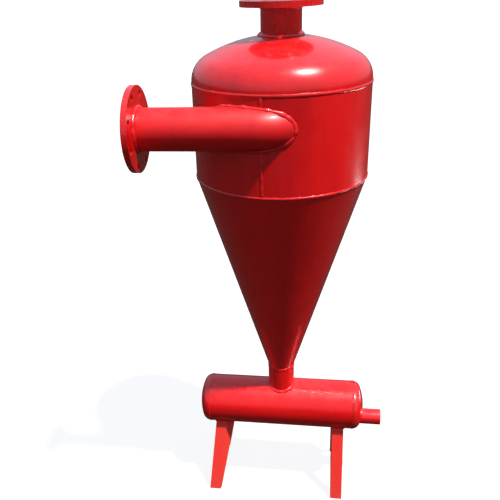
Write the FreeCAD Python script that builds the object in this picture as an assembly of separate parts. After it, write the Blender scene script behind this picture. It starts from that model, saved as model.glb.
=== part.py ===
"""Cyclone separator: dished-head body with a side inlet, cone, collecting tank and leg frame.

Millimetres. +Z is up, the ground is Z = 0, the body's axis is X = Y = 0. The inlet comes in
from -X along the front (-Y) side and the tank lies along X with its drain at +X.
"""
import math
import os

import FreeCAD
import Part

V = FreeCAD.Vector

# Body: head, shell and cone
BODY_R = 256.0            # outside radius of shell, head rim and cone mouth
BODY_WALL = 5.0
CONE_MOUTH_Z = 1185.0     # weld between shell and cone
HEAD_RIM_Z = 1455.0       # weld between shell and head
HEAD_SKIRT = 6.0          # straight edge of the head above the weld
HEAD_RISE = 119.0         # outside rise of the dished part
HEAD_KNUCKLE = 75.0       # outside radius of the head's knuckle
CONE_FOOT_Z = 495.0       # cone's narrow end on the apex neck

# Inlet and outlet pipework
PIPE_R = 57.15
PIPE_WALL = 6.0
FLANGE_R = 114.3
FLANGE_T = 16.0
BOLT_CIRCLE_R = 95.25
BOLT_HOLE_R = 9.5
BOLT_COUNT = 8
SETBACK = 5.0             # pipe end behind each flange's mating face
OUTLET_FACE_Z = 1667.0
INLET_REACH = 121.0       # from the shell's side to the inlet flange's face, along X
INLET_FACE_X = -BODY_R - INLET_REACH
INLET_Z = 1369.0
INLET_PROUD = 36.85       # how far the inlet pipe stands out in front of the shell
INLET_Y = PIPE_R - BODY_R - INLET_PROUD
BEND_R = 101.6            # centreline radius of the inlet bend
BEND_START_X = -54.0
BEND_ANGLE = 75.0         # degrees of bend built before it is trimmed at the shell's bore

# Apex neck, tank and drain
APEX_R = 44.45
APEX_WALL = 5.0
TANK_R = 84.15
TANK_WALL = 5.0
TANK_Z = 327.0
TANK_HALF = 252.0         # from the middle to each end weld
CAP_RISE = 38.0
CAP_KNUCKLE = 28.0
TANK_SEAM_W = 6.0
TANK_SEAM_H = 1.6
DRAIN_R = 27.0
DRAIN_WALL = 4.0
DRAIN_INSET = 9.15        # from the tank's round up to the drain's lowest line
DRAIN_REACH = 101.0       # drain's end beyond the tank's end weld
DRAIN_BEAD = 4.0
DRAIN_Z = TANK_Z - TANK_R + DRAIN_R + DRAIN_INSET
DRAIN_END_X = TANK_HALF + DRAIN_REACH

# Legs: a face plate parallel to the tank and a tapering web behind its inner edge
LEG_W = 39.5
LEG_T = 6.0
LEG_FOOT_X = {"left": 237.0, "right": 205.5}    # plate's middle on the ground
LEG_HEAD_X = {"left": 211.5, "right": 204.0}    # plate's middle at LEG_HEAD_Z
LEG_FOOT_Y = {"left": 124.0, "right": 128.0}    # plate's outer face on the ground
LEG_HEAD_Y = 60.0         # plate's outer face at LEG_HEAD_Z
LEG_HEAD_Z = TANK_Z - 62.0
WEB_TURN = {"left": 32.0, "right": 5.0}         # degrees from straight back towards the tank's middle
WEB_FOOT = 5.0            # web's width on the ground
WEB_HEAD = 48.0           # web's width at LEG_HEAD_Z

# Weld beads
BEAD = 5.0                # leg of the bead round the apex neck on the tank
FLANGE_BEAD = 7.0         # leg of the beads behind the flanges
NECK_BEAD = 9.0           # leg of the bead round the outlet neck on the head
LEG_BEAD = 3.0            # leg of the beads round the legs
SADDLE_BEAD = 3.5         # leg of the bead round the inlet on the shell
RING_W = 16.0             # height of the weld band under the cone's narrow end
RING_H = 1.6              # how far that band stands out
SEAM_W = 12.0             # width of a butt-weld cap
SEAM_H = 2.5              # height of a butt-weld cap
LONG_SEAM_W = 10.0
LONG_SEAM_H = 1.75
SEAM_AZ = -8.0            # degrees round from the front to the shell's long seam


def cyl(radius, start, end):
    """Solid cylinder between two points."""
    axis = end.sub(start)
    return Part.makeCylinder(radius, axis.Length, start, axis)


def tube(outer, inner, start, end):
    """Open tube between two points."""
    axis = end.sub(start)
    over = V(axis).normalize()
    return cyl(outer, start, end).cut(cyl(inner, start.sub(over), end.add(over)))


def turned(points, base=V(0, 0, 0), axis=V(0, 0, 1), out=V(1, 0, 0)):
    """Solid turned from a closed outline of (radius, height) corners."""
    ring = [base + out * r + axis * h for r, h in points]
    face = Part.Face(Part.makePolygon(ring + [ring[0]]))
    return face.revolve(base, axis, 360)


def bead_ring(radius, at, base, axis, out, height=SEAM_H, width=SEAM_W, drop=0.0):
    """Low crowned ring on a round wall; `drop` is how far the wall falls away on its -axis side."""
    half = width / 2
    pts = [(radius, at + half), (radius + 0.8 * height, at + 0.3 * half),
           (radius + height, at), (radius + 0.8 * height - 0.4 * drop, at - 0.3 * half),
           (radius - drop, at - half), (radius, at)]
    if drop == 0:
        pts.pop()
    return turned(pts, base, axis, out)


def crown_of(size):
    """Radius of a dished end's crown arc and the height of its centre above the rim.

    `size` is (radius, rise, skirt, knuckle radius), all of the outside.
    """
    radius, rise, skirt, knuckle = size
    reach = radius - knuckle
    crown = (reach ** 2 + rise ** 2 - knuckle ** 2) / (2 * (rise - knuckle))
    return crown, skirt + rise - crown


def dished(size, rim, base, axis, out, inset=0.0):
    """Dished end standing on `rim`, as one solid: straight skirt, knuckle arc and crown arc.

    `inset` gives the surface that lies that far inside, with the same arc centres.
    """
    radius, rise, skirt, knuckle = size
    reach = radius - knuckle
    crown, middle = crown_of(size)
    turn = math.atan2(reach, skirt - middle)

    def at(r, h):
        return base + axis * (rim + h) + out * r

    def on_knuckle(a):
        return at(reach + (knuckle - inset) * math.sin(a), skirt + (knuckle - inset) * math.cos(a))

    def on_crown(a):
        return at((crown - inset) * math.sin(a), middle + (crown - inset) * math.cos(a))

    wide, top = radius - inset, skirt + rise - inset
    edges = [Part.makeLine(at(0, 0), at(wide, 0))]
    if skirt > 0:
        edges.append(Part.makeLine(at(wide, 0), at(wide, skirt)))
    edges.append(Part.Arc(at(wide, skirt), on_knuckle((turn + math.pi / 2) / 2), on_knuckle(turn)).toShape())
    edges.append(Part.Arc(on_knuckle(turn), on_crown(turn / 2), at(0, top)).toShape())
    edges.append(Part.makeLine(at(0, top), at(0, 0)))
    return Part.Face(Part.Wire(edges)).revolve(base, axis, 360)


def crown_ball(size, rim, inset=0.0):
    """Ball whose top is the crown of an upright dished end on the body's axis."""
    crown, middle = crown_of(size)
    return Part.makeSphere(crown - inset, V(0, 0, rim + middle))


def flange(face, normal, start_dir):
    """Plate ring with bolt holes; `normal` points out of the mating face."""
    back = face - normal * FLANGE_T
    body = tube(FLANGE_R, PIPE_R, back, face)
    side = normal.cross(start_dir)
    for i in range(BOLT_COUNT):
        a = 2 * math.pi * (i + 0.5) / BOLT_COUNT
        c = start_dir * (BOLT_CIRCLE_R * math.cos(a)) + side * (BOLT_CIRCLE_R * math.sin(a))
        body = body.cut(cyl(BOLT_HOLE_R, back + c - normal, face + c + normal))
    return body


def flange_bead(face, normal, out):
    """Fillet bead between a flange's back and its pipe."""
    back = face - normal * FLANGE_T
    return turned([(PIPE_R, 0), (PIPE_R + FLANGE_BEAD, 0), (PIPE_R, -FLANGE_BEAD)], back, normal, out)


def inlet_run(radius, start_x):
    """Solid along the inlet's centreline: the straight run and the bend into the body."""
    a = V(start_x, INLET_Y, INLET_Z)
    b = V(BEND_START_X, INLET_Y, INLET_Z)
    return cyl(radius, a, b), bend(radius)


def bend(radius):
    """Solid bend of the inlet, turning from +X towards +Y."""
    start = V(BEND_START_X, INLET_Y, INLET_Z)
    disc = Part.Face(Part.Wire(Part.makeCircle(radius, start, V(1, 0, 0))))
    pivot = V(BEND_START_X, INLET_Y + BEND_R, INLET_Z)
    return disc.revolve(pivot, V(0, 0, 1), BEND_ANGLE)


def body_solid(radius, low, high):
    """Solid cylinder on the body's axis."""
    return cyl(radius, V(0, 0, low), V(0, 0, high))


def tank_solid(radius, half=TANK_HALF):
    """Solid cylinder on the tank's axis."""
    return cyl(radius, V(-half, 0, TANK_Z), V(half, 0, TANK_Z))


def make_body():
    """Head, shell, cone and the welds that join them."""
    parts = {}
    up, out, origin = V(0, 0, 1), V(1, 0, 0), V(0, 0, 0)
    head = (BODY_R, HEAD_RISE, HEAD_SKIRT, HEAD_KNUCKLE)
    head_full = dished(head, HEAD_RIM_Z, origin, up, out)
    head_void = dished(head, HEAD_RIM_Z, origin, up, out, BODY_WALL)
    top = V(0, 0, OUTLET_FACE_Z)
    parts["dome_head"] = head_full.cut(head_void).cut(body_solid(PIPE_R, HEAD_RIM_Z, OUTLET_FACE_Z))
    neck = tube(PIPE_R, PIPE_R - PIPE_WALL, V(0, 0, HEAD_RIM_Z), V(0, 0, OUTLET_FACE_Z - SETBACK))
    parts["outlet_neck"] = neck.cut(crown_ball(head, HEAD_RIM_Z, BODY_WALL))
    parts["outlet_flange"] = flange(top, up, out)
    parts["outlet_flange_weld"] = flange_bead(top, up, out)
    crown, middle = crown_of(head)
    z_at = HEAD_RIM_Z + middle + math.sqrt(crown ** 2 - PIPE_R ** 2)
    collar = turned([(PIPE_R, z_at - NECK_BEAD), (PIPE_R + 1.5 * NECK_BEAD, z_at - NECK_BEAD),
                     (PIPE_R + NECK_BEAD, z_at), (PIPE_R + 0.4 * NECK_BEAD, z_at + 0.35 * NECK_BEAD),
                     (PIPE_R, z_at + NECK_BEAD)])
    parts["outlet_neck_weld"] = collar.cut(crown_ball(head, HEAD_RIM_Z))

    straight, curved = inlet_run(PIPE_R, INLET_FACE_X)
    shell = tube(BODY_R, BODY_R - BODY_WALL, V(0, 0, CONE_MOUTH_Z), V(0, 0, HEAD_RIM_Z))
    parts["shell"] = shell.cut(straight).cut(curved)
    parts["head_seam_weld"] = bead_ring(BODY_R, HEAD_RIM_Z, origin, up, out)

    slope = (BODY_R - APEX_R) / (CONE_MOUTH_Z - CONE_FOOT_Z)
    wall = BODY_WALL * math.sqrt(1 + slope * slope)
    parts["cone"] = turned([(BODY_R, CONE_MOUTH_Z), (APEX_R, CONE_FOOT_Z), (APEX_R - wall, CONE_FOOT_Z),
                            (BODY_R - wall, CONE_MOUTH_Z)])
    half = SEAM_W / 2
    parts["cone_seam_weld"] = bead_ring(BODY_R, CONE_MOUTH_Z, origin, up, out, drop=slope * half)

    lean = math.radians(SEAM_AZ)
    radial = V(math.sin(lean), -math.cos(lean), 0)
    side = V(math.cos(lean), math.sin(lean), 0)
    corner = radial * (BODY_R - SEAM_W) - side * (LONG_SEAM_W / 2) + V(0, 0, CONE_MOUTH_Z + SEAM_W / 2)
    over, deep = side * LONG_SEAM_W, radial * (2 * SEAM_W)
    strip = Part.makePolygon([corner, corner + over, corner + over + deep, corner + deep, corner])
    strip = Part.Face(strip).extrude(V(0, 0, HEAD_RIM_Z - CONE_MOUTH_Z - SEAM_W))
    skin = tube(BODY_R + LONG_SEAM_H, BODY_R, V(0, 0, CONE_MOUTH_Z), V(0, 0, HEAD_RIM_Z))
    clear_s, clear_c = inlet_run(PIPE_R + SADDLE_BEAD, INLET_FACE_X)
    parts["shell_seam_weld"] = strip.common(skin).cut(clear_s).cut(clear_c)
    return parts


def make_inlet():
    """Flanged side inlet with its bend and the bead where it meets the shell."""
    parts = {}
    normal = V(-1, 0, 0)
    face = V(INLET_FACE_X, INLET_Y, INLET_Z)
    parts["inlet_flange"] = flange(face, normal, V(0, 0, 1))
    parts["inlet_flange_weld"] = flange_bead(face, normal, V(0, 0, 1))
    room = body_solid(BODY_R - BODY_WALL, 0, OUTLET_FACE_Z)
    far = body_solid(BODY_R, 0, OUTLET_FACE_Z)
    run = tube(PIPE_R, PIPE_R - PIPE_WALL, V(INLET_FACE_X + SETBACK, INLET_Y, INLET_Z),
               V(BEND_START_X, INLET_Y, INLET_Z))
    parts["inlet_pipe"] = run.cut(room)
    elbow = bend(PIPE_R).cut(bend(PIPE_R - PIPE_WALL))
    parts["inlet_bend"] = elbow.cut(room)
    wide_s, wide_c = inlet_run(PIPE_R + SADDLE_BEAD, INLET_FACE_X)
    slim_s, slim_c = inlet_run(PIPE_R, INLET_FACE_X)
    skin = body_solid(BODY_R + SADDLE_BEAD, CONE_MOUTH_Z + SEAM_W, HEAD_RIM_Z).cut(far)
    bead = wide_s.fuse(wide_c).common(skin).cut(slim_s).cut(slim_c)
    parts["inlet_saddle_weld"] = bead
    return parts


def make_tank():
    """Apex neck, collecting tank, end caps and drain."""
    parts = {}
    up, along = V(0, 0, 1), V(1, 0, 0)
    mid = V(0, 0, TANK_Z)
    bore = tank_solid(TANK_R - TANK_WALL)
    neck_post = body_solid(APEX_R, TANK_Z, CONE_FOOT_Z)
    parts["tank_shell"] = tank_solid(TANK_R).cut(
        tank_solid(TANK_R - TANK_WALL, TANK_HALF + TANK_WALL)).cut(neck_post)
    neck = tube(APEX_R, APEX_R - APEX_WALL, V(0, 0, TANK_Z), V(0, 0, CONE_FOOT_Z))
    parts["apex_neck"] = neck.cut(bore)
    low = CONE_FOOT_Z - RING_W
    parts["apex_ring_weld"] = turned([(APEX_R, low), (APEX_R + 0.7 * RING_H, low + 0.2 * RING_W),
                                      (APEX_R + RING_H, low + 0.5 * RING_W),
                                      (APEX_R + 0.8 * RING_H, low + 0.8 * RING_W), (APEX_R, CONE_FOOT_Z)])
    ring = tube(APEX_R + BEAD, APEX_R, V(0, 0, TANK_Z), V(0, 0, TANK_Z + TANK_R + BEAD))
    parts["apex_saddle_weld"] = ring.common(tank_solid(TANK_R + BEAD)).cut(tank_solid(TANK_R))

    cap_size = (TANK_R, CAP_RISE, 0, CAP_KNUCKLE)
    full = dished(cap_size, TANK_HALF, mid, along, up)
    void = dished(cap_size, TANK_HALF, mid, along, up, TANK_WALL)
    cap = full.cut(void)
    ring = bead_ring(TANK_R, TANK_HALF, mid, along, up, height=TANK_SEAM_H, width=TANK_SEAM_W)
    parts["tank_left_cap"] = cap.mirror(mid, along)
    parts["tank_left_seam_weld"] = ring.mirror(mid, along)
    start, end = V(TANK_HALF, 0, DRAIN_Z), V(DRAIN_END_X, 0, DRAIN_Z)
    parts["tank_right_cap"] = cap.cut(cyl(DRAIN_R, start, end))
    parts["tank_right_seam_weld"] = ring
    parts["drain_pipe"] = tube(DRAIN_R, DRAIN_R - DRAIN_WALL, start, end).cut(void)
    grown = dished(cap_size, TANK_HALF, mid, along, up, -DRAIN_BEAD)
    collar = tube(DRAIN_R + DRAIN_BEAD, DRAIN_R, start, end)
    parts["drain_weld"] = collar.common(grown).cut(full)
    return parts


def leg_edge(side, z):
    """X of a leg's inner edge and Y of its outer face at height z, both as distances from the middle."""
    t = z / LEG_HEAD_Z
    x = LEG_FOOT_X[side] + (LEG_HEAD_X[side] - LEG_FOOT_X[side]) * t - LEG_W / 2
    return x, LEG_FOOT_Y[side] + (LEG_HEAD_Y - LEG_FOOT_Y[side]) * t


def leg_plate(side, way, front, top, grow=0.0):
    """Face plate of one leg, up to height `top`; `way` is the sign of X and `front` that of Y."""
    corners = []
    for z, reach in ((0, -grow), (0, LEG_W + grow), (top, LEG_W + grow), (top, -grow)):
        x, y = leg_edge(side, z)
        corners.append(V(way * (x + reach), front * (y + grow), z))
    face = Part.Face(Part.makePolygon(corners + [corners[0]]))
    return face.extrude(V(0, -front * (LEG_T + 2 * grow), 0))


def leg_web(side, way, front, top, grow=0.0):
    """Web of one leg, as wide as its height asks, starting inside the face plate."""
    turn = math.radians(WEB_TURN[side])
    along = V(-way * math.sin(turn), -front * math.cos(turn), 0)
    across = V(way * math.cos(turn), -front * math.sin(turn), 0)
    corners = []
    for z, far in ((0, False), (0, True), (top, True), (top, False)):
        x, y = leg_edge(side, z)
        width = WEB_FOOT + (WEB_HEAD - WEB_FOOT) * z / LEG_HEAD_Z if far else -LEG_T / 2
        corners.append(V(way * x, front * (y - LEG_T), z) + along * (width + grow * far) - across * grow)
    face = Part.Face(Part.makePolygon(corners + [corners[0]]))
    return face.extrude(across * (LEG_T + 2 * grow))


def make_legs():
    """Four legs and the beads that hold them to the tank."""
    parts = {}
    tank = tank_solid(TANK_R)
    sleeve = tank_solid(TANK_R + LEG_BEAD).cut(tank)
    top = TANK_Z - TANK_R / 3    # inside the tank, which trims every leg to its round
    for side, way in (("left", -1), ("right", 1)):
        for place, front in (("front", -1), ("rear", 1)):
            name = "%s_%s_leg" % (place, side)
            full = leg_plate(side, way, front, top)
            plate = full.cut(tank)
            web = leg_web(side, way, front, top).cut(full).cut(tank)
            bead = leg_plate(side, way, front, top, LEG_BEAD).fuse(leg_web(side, way, front, top, LEG_BEAD))
            parts[name] = plate
            parts[name + "_web"] = web
            parts[name + "_weld"] = bead.common(sleeve).cut(plate).cut(web)
    return parts


def main():
    """Build every node and write it to its own STEP file."""
    os.makedirs("parts", exist_ok=True)
    nodes = {}
    for group in (make_body(), make_inlet(), make_tank(), make_legs()):
        nodes.update(group)
    for name, shape in nodes.items():
        if len(shape.Solids) == 1:
            shape = shape.Solids[0]
        box = shape.BoundBox
        print("%-22s solids %d valid %s vol %.1f cm3 box %.1f %.1f %.1f .. %.1f %.1f %.1f" % (
            name, len(shape.Solids), shape.isValid(), shape.Volume / 1000,
            box.XMin, box.YMin, box.ZMin, box.XMax, box.YMax, box.ZMax))
        shape.exportStep("parts/%s.step" % name)


main()
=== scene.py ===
"""Cyclone separator: enamel finishes, laid weld beads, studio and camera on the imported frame.

Lengths are in metres unless a line says otherwise. The body's axis is X = Y = 0, the ground is Z = 0,
the inlet runs along the front (-Y) and the tank lies along X. New shapes are grids of points worked
out with numpy: one parameter runs along a weld's path and the other round its section.
"""
import logging
import math
from dataclasses import dataclass, replace
from enum import Enum

import bpy
import numpy as np
from mathutils import Matrix, Vector


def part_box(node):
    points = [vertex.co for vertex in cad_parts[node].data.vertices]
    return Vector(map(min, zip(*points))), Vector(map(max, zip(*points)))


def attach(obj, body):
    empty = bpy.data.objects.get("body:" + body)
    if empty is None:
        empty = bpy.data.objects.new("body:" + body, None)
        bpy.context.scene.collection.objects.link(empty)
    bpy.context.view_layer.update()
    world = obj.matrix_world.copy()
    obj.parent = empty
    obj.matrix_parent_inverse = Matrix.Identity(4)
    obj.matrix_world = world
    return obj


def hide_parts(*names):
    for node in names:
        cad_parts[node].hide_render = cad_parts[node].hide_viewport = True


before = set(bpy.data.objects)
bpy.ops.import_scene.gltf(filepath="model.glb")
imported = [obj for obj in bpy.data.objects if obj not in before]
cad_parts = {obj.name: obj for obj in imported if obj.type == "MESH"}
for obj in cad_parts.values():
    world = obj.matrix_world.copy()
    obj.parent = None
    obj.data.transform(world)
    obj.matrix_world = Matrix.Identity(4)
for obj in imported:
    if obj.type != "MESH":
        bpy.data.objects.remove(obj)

log = logging.getLogger("cyclone")
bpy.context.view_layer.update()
MM = 0.001

# Wall thickness of the 114.3 mm pipes and of the drain, which gives the radius of their lining.
PIPE_WALL = 6.0 * MM
DRAIN_WALL = 4.0 * MM

# Colour sockets of a Mix node, which share their names with its other kinds.
MIX_FIRST, MIX_SECOND, MIX_RESULT = 6, 7, 2

Colour = tuple[float, float, float]
Triple = tuple[float, float, float]


class Way(Enum):
    """Axis that a round part is turned about, as the share of X, Y and Z that leads away from it."""

    ALONG_X = (0.0, 1.0, 1.0)
    ALONG_Z = (1.0, 1.0, 0.0)


# ---------------------------------------------------------------- finishes


class Graph:
    """Node tree of one material, with short calls for what the finishes share."""

    def __init__(self, name: str) -> None:
        """Make a material with one Principled shader.

        Args:
            name: The material's name.
        """
        self.material = bpy.data.materials.new(name)
        self.material.use_nodes = True
        self.nodes = self.material.node_tree.nodes
        self.links = self.material.node_tree.links
        self.shader = self.nodes["Principled BSDF"]
        self.place = self.nodes.new("ShaderNodeTexCoord").outputs["Object"]

    def feed(self, socket: bpy.types.NodeSocket, value: object) -> None:
        """Link a socket to another, or set it to a number or a colour.

        Args:
            socket: The input to fill.
            value: An output socket, a number, or a tuple of three or four numbers.
        """
        if isinstance(value, bpy.types.NodeSocket):
            self.links.new(value, socket)
        elif isinstance(value, tuple) and socket.type == "RGBA":
            socket.default_value = (*value[:3], 1.0)
        else:
            socket.default_value = value

    def noise(self, scale: float, detail: float = 2.0, stretch: Triple = (1.0, 1.0, 1.0),
              rough: float = 0.5, shift: float = 0.0) -> bpy.types.NodeSocket:
        """Noise in 0..1 on Object coordinates.

        Args:
            scale: Cells in a metre before the stretch.
            detail: Octaves.
            stretch: Share of the scale along X, Y and Z.
            rough: Weight of the finer octaves.
            shift: Distance to move the pattern, so that two of them differ.

        Returns:
            The noise's factor.
        """
        moved = self.nodes.new("ShaderNodeMapping")
        self.links.new(self.place, moved.inputs["Vector"])
        moved.inputs["Scale"].default_value = stretch
        moved.inputs["Location"].default_value = (shift, shift, shift)
        node = self.nodes.new("ShaderNodeTexNoise")
        self.links.new(moved.outputs["Vector"], node.inputs["Vector"])
        node.inputs["Scale"].default_value = scale
        node.inputs["Detail"].default_value = detail
        node.inputs["Roughness"].default_value = rough
        return node.outputs["Fac"]

    def fit(self, value: bpy.types.NodeSocket, start: float, end: float, low: float = 0.0,
            high: float = 1.0) -> bpy.types.NodeSocket:
        """Smooth step of a value between two levels.

        Args:
            value: What is measured.
            start: Value at which the result is `low`.
            end: Value at which the result is `high`.
            low: Result at the start.
            high: Result at the end.

        Returns:
            The fitted value.
        """
        node = self.nodes.new("ShaderNodeMapRange")
        node.interpolation_type = "SMOOTHSTEP"
        for key, number in (("From Min", start), ("From Max", end), ("To Min", low), ("To Max", high)):
            node.inputs[key].default_value = number
        self.links.new(value, node.inputs["Value"])
        return node.outputs["Result"]

    def maths(self, kind: str, first: object, second: object) -> bpy.types.NodeSocket:
        """One arithmetic step.

        Args:
            kind: Operation of the Math node, such as ADD or MULTIPLY.
            first: Left value.
            second: Right value.

        Returns:
            The result.
        """
        node = self.nodes.new("ShaderNodeMath")
        node.operation = kind
        self.feed(node.inputs[0], first)
        self.feed(node.inputs[1], second)
        return node.outputs[0]

    def plus(self, first: object, second: object) -> bpy.types.NodeSocket:
        """Sum of two values."""
        return self.maths("ADD", first, second)

    def times(self, first: object, second: object) -> bpy.types.NodeSocket:
        """Product of two values."""
        return self.maths("MULTIPLY", first, second)

    def mix(self, share: object, first: object, second: object) -> bpy.types.NodeSocket:
        """Blend two colours.

        Args:
            share: How much of the second colour shows.
            first: Colour at 0.
            second: Colour at 1.

        Returns:
            The blended colour.
        """
        node = self.nodes.new("ShaderNodeMix")
        node.data_type = "RGBA"
        self.feed(node.inputs[0], share)
        self.feed(node.inputs[MIX_FIRST], first)
        self.feed(node.inputs[MIX_SECOND], second)
        return node.outputs[MIX_RESULT]

    def radius(self, way: Way, centre: Triple) -> bpy.types.NodeSocket:
        """Distance from an axis.

        Args:
            way: Direction of the axis.
            centre: A point on it.

        Returns:
            The distance in metres.
        """
        away = self.nodes.new("ShaderNodeVectorMath")
        away.operation = "SUBTRACT"
        self.links.new(self.place, away.inputs[0])
        away.inputs[1].default_value = centre
        flat = self.nodes.new("ShaderNodeVectorMath")
        flat.operation = "MULTIPLY"
        self.links.new(away.outputs[0], flat.inputs[0])
        flat.inputs[1].default_value = way.value
        size = self.nodes.new("ShaderNodeVectorMath")
        size.operation = "LENGTH"
        self.links.new(flat.outputs[0], size.inputs[0])
        return size.outputs["Value"]

    def part(self, source: bpy.types.NodeSocket, axis: str) -> bpy.types.NodeSocket:
        """One coordinate of a vector.

        Args:
            source: The vector.
            axis: X, Y or Z.

        Returns:
            That coordinate.
        """
        node = self.nodes.new("ShaderNodeSeparateXYZ")
        self.links.new(source, node.inputs[0])
        return node.outputs[axis]

    def facing_up(self) -> bpy.types.NodeSocket:
        """How far the surface faces up, from -1 to 1."""
        return self.part(self.nodes.new("ShaderNodeNewGeometry").outputs["Normal"], "Z")

    def relief(self, height: bpy.types.NodeSocket) -> None:
        """Bump the shader and its coat by a height in millimetres.

        Args:
            height: The height.
        """
        node = self.nodes.new("ShaderNodeBump")
        node.inputs["Strength"].default_value = 1.0
        node.inputs["Distance"].default_value = MM
        self.links.new(height, node.inputs["Height"])
        self.links.new(node.outputs["Normal"], self.shader.inputs["Normal"])
        self.links.new(node.outputs["Normal"], self.shader.inputs["Coat Normal"])


@dataclass(frozen=True)
class Bore:
    """Round inside of a pipe, which carries a dull lining instead of enamel."""

    way: Way
    centre: Triple
    radius: float
    lining: Colour = (0.055, 0.030, 0.024)


@dataclass(frozen=True)
class Rim:
    """Round edge that is knocked in handling."""

    way: Way
    centre: Triple
    radius: float
    primer: Colour = (0.16, 0.11, 0.10)


@dataclass(frozen=True)
class Enamel:
    """Thick glossy red enamel brushed and sprayed over steel.

    The film's depth turns the red darker, a thin pale dust lies on what faces up, the gloss varies in
    soft patches, and the relief adds the steel's own waves, the paint's orange peel and caught grit.
    `patch` and `wave_scale` count cells in a metre, `flow` is the share of them along X, Y and Z, and
    `waves` and `peel` are heights in millimetres.
    """

    name: str
    red: Colour = (0.75, 0.005, 0.005)
    deep: Colour = (0.50, 0.002, 0.005)
    depth_weight: float = 0.55
    flow: Triple = (1.0, 1.0, 1.0)
    patch: float = 7.0
    waves: float = 0.25
    wave_scale: float = 9.0
    peel: float = 0.010
    dust: float = 0.045
    ground_darkening: float = 0.0
    rough: float = 0.30
    coat: float = 0.9
    haze: float = 0.07
    index: float = 1.5
    coat_index: float = 1.48
    dust_colour: Colour = (0.62, 0.42, 0.38)
    dust_rough: float = 1.6
    # Colour, added roughness and fade height of the darker blotches towards the ground.
    ground_dark_colour: Colour = (0.17, 0.11, 0.08)
    ground_dark_rough: float = 0.5
    ground_dark_height: float = 0.085
    chip_depth: float = 4.0 * MM
    chip_rough: float = 0.3
    lining_rough: float = 0.4
    bore: Bore | None = None
    rim: Rim | None = None

    def build(self) -> bpy.types.Material:
        """Make the material.

        Returns:
            The material.
        """
        graph = Graph(self.name)
        shader = graph.shader
        shader.inputs["IOR"].default_value = self.index
        shader.inputs["Coat Weight"].default_value = self.coat
        shader.inputs["Coat IOR"].default_value = self.coat_index
        colour, rough = self.film(graph)
        colour, rough = self.soil(graph, colour, rough)
        colour, rough = self.bare(graph, colour, rough)
        graph.feed(shader.inputs["Base Color"], colour)
        graph.feed(shader.inputs["Roughness"], rough)
        shader.inputs["Coat Roughness"].default_value = self.haze
        graph.relief(self.height(graph))
        return graph.material

    def film(self, graph: Graph) -> tuple[bpy.types.NodeSocket, bpy.types.NodeSocket]:
        """Colour and gloss of the clean paint: broad patches, runs along the flow and fine mottle.

        Args:
            graph: The material's graph.

        Returns:
            The colour and the roughness.
        """
        patches = graph.noise(self.patch, detail=4.0, stretch=self.flow, rough=0.55)
        depth = graph.fit(patches, 0.32, 0.72)
        streaks = graph.noise(46.0, detail=3.0, stretch=self.flow, rough=0.6, shift=5.0)
        runs = graph.fit(streaks, 0.45, 0.8, high=0.35)
        mottle = graph.fit(graph.noise(240.0), 0.4, 0.8, high=0.22)
        share = graph.plus(graph.times(depth, self.depth_weight), graph.plus(runs, mottle))
        colour = graph.mix(share, self.red, self.deep)
        gloss = graph.noise(11.0, detail=6.0, shift=1.0)
        return colour, graph.fit(gloss, 0.3, 0.75, low=self.rough - 0.06, high=self.rough + 0.08)

    def soil(self, graph: Graph, colour: bpy.types.NodeSocket,
             rough: bpy.types.NodeSocket) -> tuple[bpy.types.NodeSocket, bpy.types.NodeSocket]:
        """Lay pale dust on what faces up, and darker brown blotches near the ground.

        Args:
            graph: The material's graph.
            colour: Colour so far.
            rough: Roughness so far.

        Returns:
            The colour and the roughness.
        """
        up = graph.fit(graph.facing_up(), 0.35, 1.0)
        grain = graph.fit(graph.noise(30.0, detail=9.0, rough=0.7, shift=2.0), 0.38, 0.72)
        dust = graph.times(graph.times(up, grain), self.dust)
        colour = graph.mix(dust, colour, self.dust_colour)
        rough = graph.plus(rough, graph.times(dust, self.dust_rough))
        # Darker, rougher brown blotches towards the ground.
        if self.ground_darkening:
            low = graph.fit(graph.part(graph.place, "Z"), self.ground_dark_height, 0.0)
            ground_blotches = graph.fit(graph.noise(120.0, detail=8.0, rough=0.7, shift=7.0), 0.46, 0.66)
            ground_dark = graph.times(graph.times(low, ground_blotches), self.ground_darkening)
            colour = graph.mix(ground_dark, colour, self.ground_dark_colour)
            rough = graph.plus(rough, graph.times(ground_dark, self.ground_dark_rough))
        return colour, rough

    def bare(self, graph: Graph, colour: bpy.types.NodeSocket,
             rough: bpy.types.NodeSocket) -> tuple[bpy.types.NodeSocket, bpy.types.NodeSocket]:
        """Show primer where a rim is chipped, and the lining inside a bore.

        Args:
            graph: The material's graph.
            colour: Colour so far.
            rough: Roughness so far.

        Returns:
            The colour and the roughness.
        """
        if self.rim:
            away = graph.radius(self.rim.way, self.rim.centre)
            near = graph.fit(away, self.rim.radius - self.chip_depth, self.rim.radius - 0.3 * MM)
            chips = graph.fit(graph.noise(210.0, detail=6.0, rough=0.65, shift=9.0), 0.60, 0.64)
            chip = graph.times(near, chips)
            colour = graph.mix(chip, colour, self.rim.primer)
            rough = graph.plus(rough, graph.times(chip, self.chip_rough))
        if self.bore:
            away = graph.radius(self.bore.way, self.bore.centre)
            inside = graph.fit(away, self.bore.radius + 1.2 * MM, self.bore.radius + 0.2 * MM)
            colour = graph.mix(inside, colour, self.bore.lining)
            rough = graph.plus(rough, graph.times(inside, self.lining_rough))
        return colour, rough

    def height(self, graph: Graph) -> bpy.types.NodeSocket:
        """Relief in millimetres: the steel's waves, orange peel and grit under the paint.

        Args:
            graph: The material's graph.

        Returns:
            The height.
        """
        swell = graph.noise(self.wave_scale, stretch=self.flow, rough=0.4, shift=4.0)
        waves = graph.times(swell, self.waves)
        peel = graph.times(graph.noise(380.0, detail=1.0), self.peel)
        grit = graph.fit(graph.noise(900.0, detail=1.0, shift=6.0), 0.72, 0.80, high=0.03)
        return graph.plus(waves, graph.plus(peel, grit))


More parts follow.
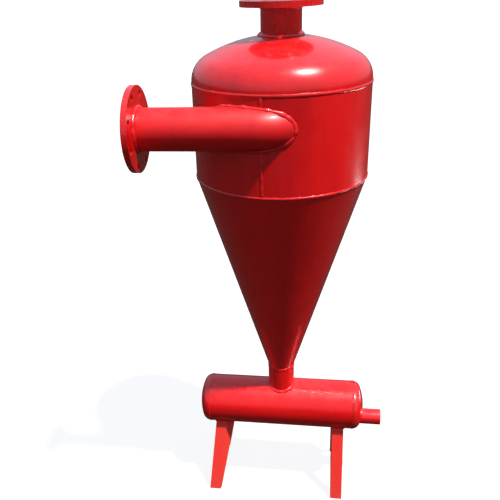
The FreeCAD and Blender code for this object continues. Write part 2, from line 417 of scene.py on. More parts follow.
@dataclass(frozen=True)
class CreviceShade:
    """Painted shade of a crevice beside a weld: a dark band with lighter blotches."""

    name: str
    # The two colours of the painted crevice shade: dark, and caught for its lighter blotches.
    dark: Colour = (0.10, 0.004, 0.005)
    caught: Colour = (0.24, 0.010, 0.010)

    def build(self) -> bpy.types.Material:
        """Make the material.

        Returns:
            The material.
        """
        graph = Graph(self.name)
        share = graph.fit(graph.noise(160.0, detail=5.0), 0.5, 0.75)
        graph.feed(graph.shader.inputs["Base Color"], graph.mix(share, self.dark, self.caught))
        rough = graph.fit(graph.noise(300.0), 0.3, 0.7, low=0.55, high=0.8)
        graph.feed(graph.shader.inputs["Roughness"], rough)
        return graph.material


def dress(names: list[str], material: bpy.types.Material) -> None:
    """Give CAD nodes a finish through their own material slots.

    Args:
        names: The nodes.
        material: Their finish.
    """
    for name in names:
        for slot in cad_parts[name].material_slots:
            slot.material = material
        log.info("dressed %s in %s", name, material.name)


# ---------------------------------------------------------------- weld beads


# Points to a ripple along a path, the fewest ripples on a ring, and the ripples' bow across the bead.
RIPPLE_POINTS = 8
FEWEST_RIPPLES = 12
RIPPLE_BOW = 0.6

# Lengths of the sways in a welder's hand, and the weight of each.
SWAY_LENGTHS = np.array([0.31, 0.17, 0.09, 0.052, 0.033, 0.021])
SWAY_WEIGHTS = np.array([0.5, 0.6, 0.7, 0.8, 0.7, 0.5]) / 2.2

# Sections: points on the face, how far its toes sink into the wall, how deep the closing point lies,
# and the share of its width that a butt weld keeps at an open end.
BUTT_POINTS, BUTT_SINK, BUTT_ROOT = 9, 0.18 * MM, 1.0 * MM
FILLET_POINTS, FILLET_SINK, FILLET_ROOT = 8, 0.25 * MM, 1.2 * MM
END_WIDTH = 0.35


def unit(vectors: np.ndarray) -> np.ndarray:
    """Vectors divided by their own lengths."""
    return vectors / np.linalg.norm(vectors, axis=-1, keepdims=True)


@dataclass(frozen=True)
class Path:
    """Line that a weld follows, with three directions at each point.

    For a butt weld, `low` and `high` lead across it over the wall, and `normal` leads out of the wall.
    For a fillet, `low` and `high` lead from its root over the two walls, and `normal` between them.
    """

    points: np.ndarray
    normal: np.ndarray
    low: np.ndarray
    high: np.ndarray
    closed: bool = True

    def lengths(self) -> tuple[np.ndarray, float]:
        """Measure the path.

        Returns:
            The distance along it at each point, and the whole length.
        """
        step = np.linalg.norm(np.roll(self.points, -1, axis=0) - self.points, axis=1)
        if not self.closed:
            step[-1] = 0.0
        return np.concatenate(([0.0], np.cumsum(step)[:-1])), float(step.sum())


@dataclass(frozen=True)
class Torch:
    """How the welder's hand moved: ripples a pitch apart, and a slow sway in width and height.

    `bite` is the ripples' depth and `sway` the size of the sway, both as shares of the bead.
    """

    pitch: float = 4.5 * MM
    bite: float = 0.22
    sway: float = 0.13
    seed: int = 1

    def ripple(self, along: np.ndarray, total: float, across: np.ndarray) -> np.ndarray:
        """Height factor 1 - bite (1 + cos 2 pi (k s / L + 0.6 u^2)) / 2, with a whole number k of ripples.

        Args:
            along: Distances s on the path.
            total: The path's length L.
            across: Places u across the bead, from -1 to 1.

        Returns:
            Factors, one row for each distance.
        """
        count = max(1, round(total / self.pitch))
        phase = count * along[:, None] / total + RIPPLE_BOW * across[None, :] ** 2
        return 1.0 - self.bite * 0.5 * (1.0 + np.cos(2.0 * np.pi * phase))

    def hand(self, along: np.ndarray, total: float) -> np.ndarray:
        """Factor 1 + sway times a weighted sum of sines, each of whole waves on the path.

        Args:
            along: Distances on the path.
            total: The path's length.

        Returns:
            One factor for each distance.
        """
        rng = np.random.default_rng(self.seed)
        waves = np.maximum(1, np.round(total / SWAY_LENGTHS))
        phase = rng.uniform(0.0, 2.0 * np.pi, waves.size)
        angle = 2.0 * np.pi * waves[None, :] * along[:, None] / total + phase[None, :]
        return 1.0 + self.sway * (SWAY_WEIGHTS * np.sin(angle)).sum(axis=1)


def butt_grid(path: Path, width: float, height: float, torch: Torch,
              ends: float = 0.0) -> np.ndarray:
    """Section grid of a butt weld's low cap.

    At distance s and place u in -1..1 the point is P + D w/2 |u| f + N (h (1 - u^2) r f - sink), where D
    is the low or high direction by the sign of u, f is the hand's factor and r the ripple's. One more
    point, inside the wall, closes the section. An open path's cap fades over `ends` by a quarter
    circle, to nothing in height and to a share of its width.

    Args:
        path: The weld's path.
        width: Width of the cap.
        height: Height of the cap.
        torch: How it was laid.
        ends: Length of the fade at each end of an open path.

    Returns:
        Points, by distance and by place in the section.
    """
    along, total = path.lengths()
    across = np.linspace(-1.0, 1.0, BUTT_POINTS)
    hand = torch.hand(along, total)[:, None]
    fade = np.ones_like(hand)
    if ends:
        near = np.minimum(along, total - along)[:, None] / ends
        fade = np.sqrt(1.0 - (1.0 - np.clip(near, 0.0, 1.0)) ** 2)
    rise = height * (1.0 - across[None, :] ** 2) * torch.ripple(along, total, across) * hand * fade
    reach = 0.5 * width * np.abs(across)[None, :] * hand * (END_WIDTH + (1.0 - END_WIDTH) * fade)
    lead = np.where((across < 0)[None, :, None], path.low[:, None, :], path.high[:, None, :])
    out = path.normal[:, None, :] * (rise - BUTT_SINK)[..., None]
    top = path.points[:, None, :] + lead * reach[..., None] + out
    under = path.points - path.normal * BUTT_ROOT
    return np.concatenate((top, under[:, None, :]), axis=1)


def fillet_grid(path: Path, leg: float, bulge: float, torch: Torch) -> np.ndarray:
    """Section grid of a fillet weld.

    At distance s and share v in 0..1 the point is P + A leg (1 - v) f + B leg v f + M b 4 v (1 - v) r f,
    where A and B lead over the two walls, M leads between them, f is the hand's factor and r the ripple's.
    Both toes are pushed a little into the walls, and a point beyond the root closes the section.

    Args:
        path: The weld's path.
        leg: Length of each leg.
        bulge: How far the face stands out from the straight line between the toes.
        torch: How it was laid.

    Returns:
        Points, by distance and by place in the section.
    """
    along, total = path.lengths()
    share = np.linspace(0.0, 1.0, FILLET_POINTS)
    hand = torch.hand(along, total)[:, None]
    one = leg * (1.0 - share)[None, :] * hand
    two = leg * share[None, :] * hand
    ripple = torch.ripple(along, total, 2.0 * share - 1.0)
    out = bulge * 4.0 * (share * (1.0 - share))[None, :] * ripple * hand
    sink = FILLET_SINK * (2.0 * share[None, :] - 1.0) ** 2
    legs = path.low[:, None, :] * one[..., None] + path.high[:, None, :] * two[..., None]
    top = path.points[:, None, :] + legs + path.normal[:, None, :] * (out - sink)[..., None]
    under = path.points - path.normal * FILLET_ROOT
    return np.concatenate((top, under[:, None, :]), axis=1)


def lay(name: str, grid: np.ndarray, material: bpy.types.Material,
        instead: tuple[str, ...] = (), closed: bool = True) -> None:
    """Turn a section grid into a closed tube of faces that point outwards.

    Four neighbours on the grid make a face; the section always closes on itself, and an open path gets
    one flat face at each end. The volume, a sum of triple products, tells whether to turn every face.

    Args:
        name: The piece's name.
        grid: Points, by distance along the path and by place in the section.
        material: Its finish.
        instead: CAD nodes that it stands for.
        closed: Whether the path closes on itself.
    """
    rows, cols = grid.shape[:2]
    index = np.arange(rows * cols).reshape(rows, cols)
    here = index if closed else index[:-1]
    there = np.roll(index, -1, axis=0) if closed else index[1:]
    beside, beyond = np.roll(here, -1, axis=1), np.roll(there, -1, axis=1)
    faces = np.stack((here, there, beyond, beside), axis=-1).reshape(-1, 4)
    flat = grid.reshape(-1, 3)
    corner = flat[faces]
    volume = np.einsum("ij,ij->i", corner[:, 0], np.cross(corner[:, 1], corner[:, 2])).sum()
    volume += np.einsum("ij,ij->i", corner[:, 0], np.cross(corner[:, 2], corner[:, 3])).sum()
    listed = faces.tolist()
    if not closed:
        listed += [index[0][::-1].tolist(), index[-1].tolist()]
    if volume < 0:
        listed = [face[::-1] for face in listed]
    mesh = bpy.data.meshes.new(name)
    mesh.from_pydata(flat.tolist(), [], listed)
    mesh.shade_smooth()
    mesh.materials.append(material)
    piece = bpy.data.objects.new(name, mesh)
    bpy.context.scene.collection.objects.link(piece)
    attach(piece, "root")
    if instead:
        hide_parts(*instead)
    log.info("laid %s with %d faces", name, len(listed))


def turns(length: float, torch: Torch) -> np.ndarray:
    """Angles round a ring of a length, RIPPLE_POINTS to a ripple."""
    ripples = max(FEWEST_RIPPLES, round(length / torch.pitch))
    return np.linspace(0.0, 2.0 * np.pi, RIPPLE_POINTS * ripples, endpoint=False)


def upright_ring(radius: float, height: float, torch: Torch) -> tuple[np.ndarray, np.ndarray, np.ndarray]:
    """Ring round the body's axis: points, the way out, and up.

    Args:
        radius: The ring's radius.
        height: Its height.
        torch: How the weld is laid, which sets the number of points.

    Returns:
        Points (r cos a, r sin a, z), outward directions and upward directions.
    """
    turn = turns(2.0 * np.pi * radius, torch)
    out = np.stack((np.cos(turn), np.sin(turn), np.zeros_like(turn)), axis=1)
    up = np.tile(np.array([0.0, 0.0, 1.0]), (turn.size, 1))
    return out * radius + up * height, out, up


def lying_ring(radius: float, centre: Triple, torch: Torch) -> tuple[np.ndarray, np.ndarray, np.ndarray]:
    """Ring round a line along X: points, the way out, and +X.

    Args:
        radius: The ring's radius.
        centre: Its middle.
        torch: How the weld is laid, which sets the number of points.

    Returns:
        Points (x, y + r cos a, z + r sin a), outward directions and directions along X.
    """
    turn = turns(2.0 * np.pi * radius, torch)
    out = np.stack((np.zeros_like(turn), np.cos(turn), np.sin(turn)), axis=1)
    along = np.tile(np.array([1.0, 0.0, 0.0]), (turn.size, 1))
    return out * radius + np.array(centre), out, along


def between(points: np.ndarray, first: np.ndarray, second: np.ndarray) -> Path:
    """Path of a fillet between two walls.

    Each leg's direction is one wall's normal with its share along the other's taken away, so that it
    lies in that other wall.

    Args:
        points: Points on both walls.
        first: Outward normals of the first wall.
        second: Outward normals of the second wall.

    Returns:
        The path.
    """
    dot = (first * second).sum(axis=1, keepdims=True)
    low, high = unit(second - first * dot), unit(first - second * dot)
    return Path(points, unit(low + high), low, high)


# ---------------------------------------------------------------- sub-assemblies


@dataclass(frozen=True)
class Dish:
    """Torispherical end: a crown arc about its axis and a knuckle arc at its rim."""

    radius: float
    rise: float
    skirt: float
    knuckle: float

    @property
    def reach(self) -> float:
        """Distance of the knuckle's centre from the axis."""
        return self.radius - self.knuckle

    @property
    def crown(self) -> float:
        """Crown radius, where both arcs share a tangent: (a^2 + h^2 - k^2) / 2 (h - k)."""
        square = self.reach ** 2 + self.rise ** 2 - self.knuckle ** 2
        return square / (2.0 * (self.rise - self.knuckle))

    def surface(self, away: np.ndarray) -> tuple[np.ndarray, np.ndarray, np.ndarray]:
        """Height over the rim at distances from the axis, and the normal's two parts there.

        Args:
            away: Distances from the axis.

        Returns:
            Heights, and the normals' parts away from the axis and along it.
        """
        middle = self.skirt + self.rise - self.crown
        turn = math.atan2(self.reach, self.skirt - middle)
        on_crown = away < self.crown * math.sin(turn)
        high = middle + np.sqrt(np.maximum(self.crown ** 2 - away ** 2, 0.0))
        low = self.skirt + np.sqrt(np.maximum(self.knuckle ** 2 - (away - self.reach) ** 2, 0.0))
        side = np.where(on_crown, away / self.crown, (away - self.reach) / self.knuckle)
        height = np.where(on_crown, high, low)
        return height, side, np.sqrt(np.maximum(1.0 - side ** 2, 0.0))


@dataclass
class Body:
    """Dished head, rolled shell and cone, with the seams between them.

    The long seam stands at a turn in degrees from the front. It fades at its ends, stops a gap short of
    the round seams, and is tucked behind the inlet's bend.
    """

    rise: float = 0.119
    skirt: float = 0.006
    knuckle: float = 0.075
    seam_width: float = 0.0105
    seam_height: float = 2.1 * MM
    long_seam_turn: float = -8.0
    long_seam_width: float = 9.5 * MM
    long_seam_height: float = 1.7 * MM
    long_seam_fade: float = 7.0 * MM
    long_seam_gap: float = 4.0 * MM
    long_seam_tuck: float = 11.0 * MM

    def __post_init__(self) -> None:
        """Take the radius and the two seams' heights from the frame."""
        low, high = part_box("shell")
        self.radius = high[0]
        self.low_seam, self.high_seam = low[2], high[2]
        foot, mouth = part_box("cone")
        self.foot_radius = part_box("apex_neck")[1][0]
        self.slope = (self.radius - self.foot_radius) / (mouth[2] - foot[2])
        self.dish = Dish(self.radius, self.rise, self.skirt, self.knuckle)

    def build(self, beads: bpy.types.Material) -> None:
        """Dress the plates and lay the seams.

        Args:
            beads: Finish of the welds.
        """
        dress(["dome_head"], Enamel("head_enamel", waves=0.30, wave_scale=6.0, dust=0.03).build())
        shell = Enamel("shell_enamel", flow=(1.0, 1.0, 0.16), waves=0.55, wave_scale=19.0)
        dress(["shell"], shell.build())
        cone = Enamel("cone_enamel", flow=(1.0, 1.0, 0.12), waves=0.30, wave_scale=15.0)
        dress(["cone"], cone.build())
        self.head_seam(beads)
        self.cone_seam(beads)
        self.long_seam(beads)

    def head_seam(self, finish: bpy.types.Material) -> None:
        """Lay the seam between head and shell.

        Args:
            finish: The weld's finish.
        """
        torch = Torch(seed=3)
        points, out, up = upright_ring(self.radius, self.high_seam, torch)
        grid = butt_grid(Path(points, out, -up, up), self.seam_width, self.seam_height, torch)
        lay("head_seam_bead", grid, finish, ("head_seam_weld",))

    def cone_seam(self, finish: bpy.types.Material) -> None:
        """Lay the seam between shell and cone, whose lower half follows the cone inwards.

        Args:
            finish: The weld's finish.
        """
        torch = Torch(seed=4)
        points, out, up = upright_ring(self.radius, self.low_seam, torch)
        down = unit(-up - out * self.slope)
        grid = butt_grid(Path(points, out, down, up), self.seam_width, self.seam_height, torch)
        lay("cone_seam_bead", grid, finish, ("cone_seam_weld",))

    def long_seam(self, finish: bpy.types.Material) -> None:
        """Lay the shell's upright seam below and above the inlet; the low run stands for the CAD node.

        Args:
            finish: The weld's finish.
        """
        lean = math.radians(self.long_seam_turn)
        out = np.array([math.sin(lean), -math.cos(lean), 0.0])
        side = np.array([math.cos(lean), math.sin(lean), 0.0])
        pipe_low, pipe_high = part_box("inlet_bend")
        tuck, gap = self.long_seam_tuck, self.long_seam_gap
        spans = {"long_seam_bead_low": (self.low_seam + gap, pipe_low[2] + tuck),
                 "long_seam_bead_high": (pipe_high[2] - tuck, self.high_seam - gap)}
        for number, (name, (start, end)) in enumerate(spans.items()):
            torch = Torch(pitch=4.0 * MM, sway=0.16, seed=10 + number)
            height = np.linspace(start, end, RIPPLE_POINTS * round((end - start) / torch.pitch))
            points = out * self.radius + np.outer(height, (0.0, 0.0, 1.0))
            sideways = np.tile(side, (height.size, 1))
            path = Path(points, np.tile(out, (height.size, 1)), -sideways, sideways, closed=False)
            grid = butt_grid(path, self.long_seam_width, self.long_seam_height, torch, self.long_seam_fade)
            instead = ("shell_seam_weld",) if number == 0 else ()
            lay(name, grid, finish, instead, closed=False)


@dataclass
class Outlet:
    """Flanged neck on top of the head."""

    flange_leg: float = 7.0 * MM
    flange_bulge: float = 1.5 * MM
    collar_leg: float = 8.5 * MM
    collar_bulge: float = 2.0 * MM

    def build(self, body: Body, beads: bpy.types.Material) -> None:
        """Dress the neck and its flange and lay their two fillets.

        Args:
            body: The body, whose head carries the neck.
            beads: Finish of the welds.
        """
        low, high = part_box("outlet_flange")
        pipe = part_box("outlet_neck")[1][0]
        bore = Bore(Way.ALONG_Z, (0.0, 0.0, 0.0), pipe - PIPE_WALL)
        rim = Rim(Way.ALONG_Z, (0.0, 0.0, 0.0), high[0])
        neck = Enamel("neck_enamel", flow=(1.0, 1.0, 0.3), waves=0.15, bore=bore)
        dress(["outlet_neck"], neck.build())
        flange = Enamel("outlet_flange_enamel", waves=0.12, wave_scale=20.0, rim=rim)
        dress(["outlet_flange"], flange.build())
        torch = Torch(pitch=4.2 * MM, seed=21)
        points, out, up = upright_ring(pipe, low[2], torch)
        grid = fillet_grid(between(points, out, -up), self.flange_leg, self.flange_bulge, torch)
        lay("outlet_flange_bead", grid, beads, ("outlet_flange_weld",))
        rise, side, along = body.dish.surface(np.array([pipe]))
        torch = Torch(pitch=5.0 * MM, sway=0.2, seed=22)
        points, out, up = upright_ring(pipe, body.high_seam + float(rise[0]), torch)
        path = between(points, out, out * side[0] + up * along[0])
        grid = fillet_grid(path, self.collar_leg, self.collar_bulge, torch)
        lay("outlet_collar_bead", grid, beads, ("outlet_neck_weld",))


@dataclass
class Inlet:
    """Flanged side inlet: a straight run beside the shell that bends into it.

    The saddle's stretch is roughly its length over the pipe's girth.
    """

    bend_radius: float = 0.1016
    flange_leg: float = 7.0 * MM
    flange_bulge: float = 1.5 * MM
    saddle_leg: float = 6.0 * MM
    saddle_bulge: float = 1.7 * MM
    saddle_stretch: float = 1.8

    def build(self, body: Body, beads: bpy.types.Material) -> None:
        """Dress the pipework and lay its fillets.

        Args:
            body: The body that it enters.
            beads: Finish of the welds.
        """
        low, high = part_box("inlet_pipe")
        self.pipe = 0.5 * (high[2] - low[2])
        self.centre = (0.0, low[1] + self.pipe, 0.5 * (low[2] + high[2]))
        self.bend_start = high[0]
        bore = Bore(Way.ALONG_X, self.centre, self.pipe - PIPE_WALL)
        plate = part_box("inlet_flange")
        rim = Rim(Way.ALONG_X, self.centre, 0.5 * (plate[1][2] - plate[0][2]))
        pipework = Enamel("inlet_enamel", flow=(0.4, 1.0, 1.0), waves=0.18, wave_scale=12.0,
                          rough=0.47, coat=0.12, haze=0.15, bore=bore)
        dress(["inlet_pipe"], pipework.build())
        dress(["inlet_bend"], replace(pipework, name="bend_enamel", bore=None).build())
        flange = Enamel("inlet_flange_enamel", waves=0.12, wave_scale=20.0, rim=rim)
        dress(["inlet_flange"], flange.build())
        torch = Torch(pitch=4.2 * MM, seed=31)
        points, out, along = lying_ring(self.pipe, (plate[1][0], *self.centre[1:]), torch)
        grid = fillet_grid(between(points, out, along), self.flange_leg, self.flange_bulge, torch)
        lay("inlet_flange_bead", grid, beads, ("inlet_flange_weld",))
        torch = Torch(pitch=5.2 * MM, bite=0.35, sway=0.3, seed=32)
        path = self.saddle(body.radius, torch)
        grid = fillet_grid(path, self.saddle_leg, self.saddle_bulge, torch)
        lay("inlet_saddle_bead", grid, beads, ("inlet_saddle_weld",))

    def saddle(self, shell: float, torch: Torch) -> Path:
        """Line where the inlet's outside meets the shell.

        Round the pipe's section by the angle t, the straight run's line y = Y + r cos t meets the shell
        at x = -sqrt(R^2 - y^2). Where that lies past the bend's start, the bend's line is the circle of
        radius q = B - r cos t about the pivot P, and it meets the shell at the angle f where
        K cos(f + e) = (R^2 - K^2 - q^2) / 2q, with K the pivot's distance from the axis and e the
        bearing for which K sin e = -P.x and K cos e = -P.y.

        Args:
            shell: The shell's radius R.
            torch: How the weld is laid, which sets the number of points.

        Returns:
            The fillet's path.
        """
        turn = turns(2.0 * np.pi * self.pipe * self.saddle_stretch, torch)
        cos, sin = np.cos(turn), np.sin(turn)
        y = self.centre[1] + self.pipe * cos
        straight = -np.sqrt(np.maximum(shell ** 2 - y ** 2, 0.0))
        on_run = (np.abs(y) < shell) & (straight < self.bend_start)
        pivot = (self.bend_start, self.centre[1] + self.bend_radius)
        far = math.hypot(*pivot)
        bearing = math.atan2(-pivot[0], -pivot[1])
        ring = self.bend_radius - self.pipe * cos
        reach = np.clip((shell ** 2 - far ** 2 - ring ** 2) / (2.0 * ring * far), -1.0, 1.0)
        angle = np.arccos(reach) - bearing
        x = np.where(on_run, straight, pivot[0] + ring * np.sin(angle))
        y = np.where(on_run, y, pivot[1] - ring * np.cos(angle))
        angle = np.where(on_run, 0.0, angle)
        points = np.stack((x, y, self.centre[2] + self.pipe * sin), axis=1)
        pipe_out = np.stack((-cos * np.sin(angle), cos * np.cos(angle), sin), axis=1)
        shell_out = np.stack((x, y, np.zeros_like(x)), axis=1) / shell
        return between(points, pipe_out, shell_out)


@dataclass
class Tank:
    """Apex neck, lying tank with two dished caps, and the drain."""

    rise: float = 0.038
    knuckle: float = 0.028
    saddle_leg: float = 6.0 * MM
    saddle_bulge: float = 1.4 * MM
    drain_leg: float = 4.5 * MM
    drain_bulge: float = 1.0 * MM
    band_width: float = 15.0 * MM
    band_height: float = 1.6 * MM
    seam_width: float = 5.4 * MM
    seam_height: float = 1.5 * MM
    # Band of painted crevice shade beside the right-hand cap: its shift from the seam, its width and its
    # height.
    shade_band_shift: float = 3.1 * MM
    shade_band_width: float = 2.6 * MM
    shade_band_height: float = 0.55 * MM

    def build(self, beads: bpy.types.Material, gap: bpy.types.Material) -> None:
        """Dress the tank, neck and drain and lay their welds.

        Args:
            beads: Finish of the welds.
            gap: Finish of the band of painted crevice shade beside the right-hand cap.
        """
        low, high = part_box("tank_shell")
        self.radius = 0.5 * (high[1] - low[1])
        self.half = high[0]
        self.axis = low[2] + self.radius
        self.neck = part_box("apex_neck")[1][0]
        barrel = Enamel("tank_enamel", flow=(0.2, 1.0, 1.0), waves=0.18, coat=0.5, haze=0.15)
        dress(["tank_shell"], barrel.build())
        caps = Enamel("cap_enamel", waves=0.14, wave_scale=14.0)
        dress(["tank_left_cap", "tank_right_cap"], caps.build())
        dress(["apex_neck"], Enamel("apex_enamel", flow=(1.0, 1.0, 0.3), waves=0.14).build())
        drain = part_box("drain_pipe")
        pipe = 0.5 * (drain[1][1] - drain[0][1])
        line = (0.0, 0.0, drain[0][2] + pipe)
        bore = Bore(Way.ALONG_X, line, pipe - DRAIN_WALL)
        stub = Enamel("drain_enamel", flow=(0.3, 1.0, 1.0), waves=0.10, bore=bore)
        dress(["drain_pipe"], stub.build())
        self.seams(beads, gap)
        self.neck_band(beads)
        self.neck_saddle(beads)
        self.drain_fillet(pipe, line[2], beads)

    def seams(self, finish: bpy.types.Material, gap: bpy.types.Material) -> None:
        """Lay the two end seams, and a band of painted crevice shade beside the right-hand one.

        Args:
            finish: The welds' finish.
            gap: Finish of the painted crevice shade.
        """
        for side, sign in (("left", -1.0), ("right", 1.0)):
            torch = Torch(pitch=3.8 * MM, seed=41 if sign < 0 else 42)
            points, out, along = lying_ring(self.radius, (sign * self.half, 0.0, self.axis), torch)
            path = Path(points, out, -along, along)
            grid = butt_grid(path, self.seam_width, self.seam_height, torch)
            lay("tank_%s_seam_bead" % side, grid, finish, ("tank_%s_seam_weld" % side,))
        # A dark band laid beside the right-hand seam: painted shade of the crevice there.
        torch = Torch(pitch=9.0 * MM, bite=0.0, sway=0.2, seed=43)
        centre = (self.half + self.shade_band_shift, 0.0, self.axis)
        points, out, along = lying_ring(self.radius, centre, torch)
        path = Path(points, out, -along, along)
        lay("tank_right_crevice_shade", butt_grid(path, self.shade_band_width, self.shade_band_height, torch), gap)

    def neck_band(self, finish: bpy.types.Material) -> None:
        """Lay the wide band under the cone's narrow end.

        Args:
            finish: The weld's finish.
        """
        torch = Torch(pitch=5.0 * MM, bite=0.3, sway=0.16, seed=44)
        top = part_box("apex_neck")[1][2]
        points, out, up = upright_ring(self.neck, top - 0.5 * self.band_width, torch)
        grid = butt_grid(Path(points, out, -up, up), self.band_width, self.band_height, torch)
        lay("apex_ring_bead", grid, finish, ("apex_ring_weld",))

    def neck_saddle(self, finish: bpy.types.Material) -> None:
        """Lay the fillet round the neck on the tank, at z = Z + sqrt(R^2 - y^2).

        Args:
            finish: The weld's finish.
        """
        torch = Torch(pitch=4.4 * MM, sway=0.25, seed=45)
        points, out, up = upright_ring(self.neck, 0.0, torch)
        rise = np.sqrt(self.radius ** 2 - points[:, 1] ** 2)
        wall = np.stack((np.zeros_like(rise), points[:, 1], rise), axis=1) / self.radius
        points = points + up * (self.axis + rise)[:, None]
        grid = fillet_grid(between(points, out, wall), self.saddle_leg, self.saddle_bulge, torch)
        lay("apex_saddle_bead", grid, finish, ("apex_saddle_weld",))

    def drain_fillet(self, pipe: float, height: float, finish: bpy.types.Material) -> None:
        """Lay the fillet round the drain on the right-hand cap.

        Args:
            pipe: The drain's radius.
            height: Height of its axis.
            finish: The weld's finish.
        """
        torch = Torch(pitch=4.0 * MM, sway=0.2, seed=46)
        points, out, along = lying_ring(pipe, (0.0, 0.0, height), torch)
        offset = points[:, 1:] - np.array([0.0, self.axis])
        away = np.linalg.norm(offset, axis=1)
        rise, side, forward = Dish(self.radius, self.rise, 0.0, self.knuckle).surface(away)
        points = points + along * (self.half + rise)[:, None]
        wall = along * forward[:, None]
        wall[:, 1:] += offset / away[:, None] * side[:, None]
        grid = fillet_grid(between(points, out, wall), self.drain_leg, self.drain_bulge, torch)
        lay("drain_bead", grid, finish, ("drain_weld",))


@dataclass(frozen=True)
class Legs:
    """Four legs, each a face plate with a web behind it."""

    sides: tuple[str, ...] = ("left", "right")
    places: tuple[str, ...] = ("front", "rear")

    def build(self, beads: bpy.types.Material) -> None:
        """Dress the plates and webs in a lighter red, which is painted light, and the short beads under
        the tank.

        Args:
            beads: Finish of the welds.
        """
        names = ["%s_%s_leg" % (place, side) for place in self.places for side in self.sides]
        # The legs' red and deep red are lighter than the other enamels: painted light, for the sun on the
        # legs' fronts.
        plate = Enamel("leg_enamel_painted_light", red=(0.96, 0.052, 0.036), deep=(0.88, 0.030, 0.024),
                       flow=(1.0, 1.0, 0.25), waves=0.10, wave_scale=22.0, ground_darkening=0.6)
        dress(names + [name + "_web" for name in names], plate.build())
        dress([name + "_weld" for name in names], beads)


# ---------------------------------------------------------------- studio


@dataclass(frozen=True)
class Viewpoint:
    """Where the camera stands in metres, how it is turned in degrees, and its lens in millimetres."""

    place: Triple = (0.1185, -1.8233, 1.7388)
    turn: float = 8.84
    down: float = 25.43
    roll: float = -2.21
    lens: float = 44.6
    sensor: float = 36.0
    shift: tuple[float, float] = (0.0378, 0.0325)
    clip: tuple[float, float] = (0.05, 200.0)

    def build(self) -> None:
        """Make the camera and set it as the scene's own."""
        data = bpy.data.cameras.new("camera")
        data.lens = self.lens
        data.sensor_width = self.sensor
        data.shift_x, data.shift_y = self.shift
        data.clip_start, data.clip_end = self.clip
        camera = bpy.data.objects.new("camera", data)
        bpy.context.scene.collection.objects.link(camera)
        turn = Matrix.Rotation(math.radians(self.turn), 4, "Z")
        tip = Matrix.Rotation(math.radians(90.0 - self.down), 4, "X")
        roll = Matrix.Rotation(math.radians(self.roll), 4, "Z")
        camera.matrix_world = Matrix.Translation(self.place) @ turn @ tip @ roll
        bpy.context.scene.camera = camera


@dataclass(frozen=True)
class Card:
    """Soft flat light low beside the body, which the paint mirrors in long wavy streaks."""

    name: str
    place: Triple
    size: tuple[float, float]
    power: float
    colour: Colour
    target: Triple = (0.0, 0.0, 1.25)

    def build(self) -> None:
        """Make the light, turned to face the shell."""
        data = bpy.data.lights.new(self.name, "AREA")
        data.shape = "RECTANGLE"
        data.size, data.size_y = self.size
        data.energy = self.power
        data.color = self.colour
        card = bpy.data.objects.new(self.name, data)
        bpy.context.scene.collection.objects.link(card)
        card.location = self.place
        way = Vector(self.target) - Vector(self.place)
        card.rotation_euler = way.to_track_quat("-Z", "Y").to_euler()


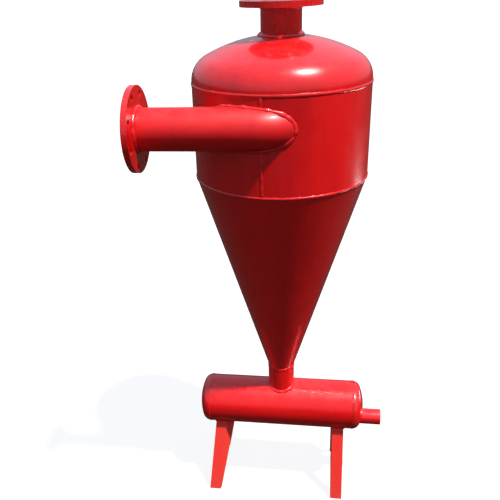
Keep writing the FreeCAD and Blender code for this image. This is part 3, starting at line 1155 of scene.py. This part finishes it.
@dataclass(frozen=True)
class Studio:
    """Pale floor, a high lamp from the right and in front, a low card and a sky over darker ground.

    The lamp's spread is in degrees. Each stop of the sky is a level, from 0 straight down to 1 straight
    up, with its colour.
    """

    floor_size: float = 120.0
    floor_colour: Colour = (0.17, 0.165, 0.16)
    floor_glow: float = 0.86
    floor_rough: float = 0.9
    lamp_power: float = 5.7
    lamp_colour: Colour = (1.0, 0.965, 0.92)
    lamp_way: Triple = (-0.43, 0.235, -1.0)
    lamp_spread: float = 3.4
    card: Card = Card("card_right", (2.35, 1.45, 0.02), (0.9, 0.55), 15.0, (1.0, 0.93, 0.92))
    sky_power: float = 1.0
    sky_stops: tuple[tuple[float, Colour], ...] = (
        (0.0, (0.05, 0.034, 0.03)), (0.44, (0.075, 0.055, 0.05)), (0.495, (0.10, 0.08, 0.08)),
        (0.515, (0.36, 0.37, 0.40)), (0.65, (0.42, 0.48, 0.60)), (1.0, (0.46, 0.54, 0.74)))

    def build(self) -> None:
        """Make the floor, the lamp, the card and the sky."""
        self.floor()
        self.lamp()
        self.card.build()
        self.sky()
        bpy.context.scene.view_settings.view_transform = "Standard"

    def floor(self) -> None:
        """Lay the floor, which the camera sees but which neither shows in the paint nor lights it."""
        half = self.floor_size / 2.0
        corners = [(-half, -half, 0.0), (half, -half, 0.0), (half, half, 0.0), (-half, half, 0.0)]
        mesh = bpy.data.meshes.new("floor")
        mesh.from_pydata(corners, [], [(0, 1, 2, 3)])
        graph = Graph("floor_pale")
        graph.shader.inputs["Base Color"].default_value = (*self.floor_colour, 1.0)
        graph.shader.inputs["Roughness"].default_value = self.floor_rough
        graph.shader.inputs["Emission Color"].default_value = (1.0, 1.0, 1.0, 1.0)
        graph.shader.inputs["Emission Strength"].default_value = self.floor_glow
        mesh.materials.append(graph.material)
        floor = bpy.data.objects.new("floor", mesh)
        floor.visible_glossy = False
        floor.visible_diffuse = False
        bpy.context.scene.collection.objects.link(floor)

    def lamp(self) -> None:
        """Hang the lamp."""
        sun = bpy.data.lights.new("lamp", "SUN")
        sun.energy = self.lamp_power
        sun.angle = math.radians(self.lamp_spread)
        sun.color = self.lamp_colour
        lamp = bpy.data.objects.new("lamp", sun)
        bpy.context.scene.collection.objects.link(lamp)
        lamp.rotation_euler = Vector(self.lamp_way).to_track_quat("-Z", "Y").to_euler()

    def sky(self) -> None:
        """Make the sky: plain white behind the object, blue above and brown below for its light."""
        world = bpy.data.worlds.new("sky")
        world.use_nodes = True
        nodes, links = world.node_tree.nodes, world.node_tree.links
        back = nodes["Background"]
        split = nodes.new("ShaderNodeSeparateXYZ")
        links.new(nodes.new("ShaderNodeTexCoord").outputs["Generated"], split.inputs[0])
        level = nodes.new("ShaderNodeMapRange")
        level.inputs["From Min"].default_value = -1.0
        links.new(split.outputs["Z"], level.inputs["Value"])
        ramp = nodes.new("ShaderNodeValToRGB")
        while len(ramp.color_ramp.elements) < len(self.sky_stops):
            ramp.color_ramp.elements.new(0.5)
        for element, (place, colour) in zip(ramp.color_ramp.elements, self.sky_stops):
            element.position = place
            element.color = (*colour, 1.0)
        links.new(level.outputs["Result"], ramp.inputs["Fac"])
        seen = nodes.new("ShaderNodeLightPath").outputs["Is Camera Ray"]
        mix = nodes.new("ShaderNodeMix")
        mix.data_type = "RGBA"
        links.new(seen, mix.inputs[0])
        links.new(ramp.outputs["Color"], mix.inputs[MIX_FIRST])
        mix.inputs[MIX_SECOND].default_value = (1.0, 1.0, 1.0, 1.0)
        links.new(mix.outputs[MIX_RESULT], back.inputs["Color"])
        back.inputs["Strength"].default_value = self.sky_power
        bpy.context.scene.world = world


def main() -> None:
    """Build the camera, the studio and every sub-assembly in order."""
    logging.basicConfig(level=logging.INFO)
    Viewpoint().build()
    Studio().build()
    beads = Enamel("bead_enamel", patch=30.0, waves=0.05, wave_scale=60.0, peel=0.02, rough=0.24).build()
    # Painted shade for the crevice beside the tank's right-hand cap.
    gap = CreviceShade("crevice_shade").build()
    body = Body()
    body.build(beads)
    Outlet().build(body, beads)
    Inlet().build(body, beads)
    Tank().build(beads, gap)
    Legs().build(beads)


if __name__ == "__main__":
    main()
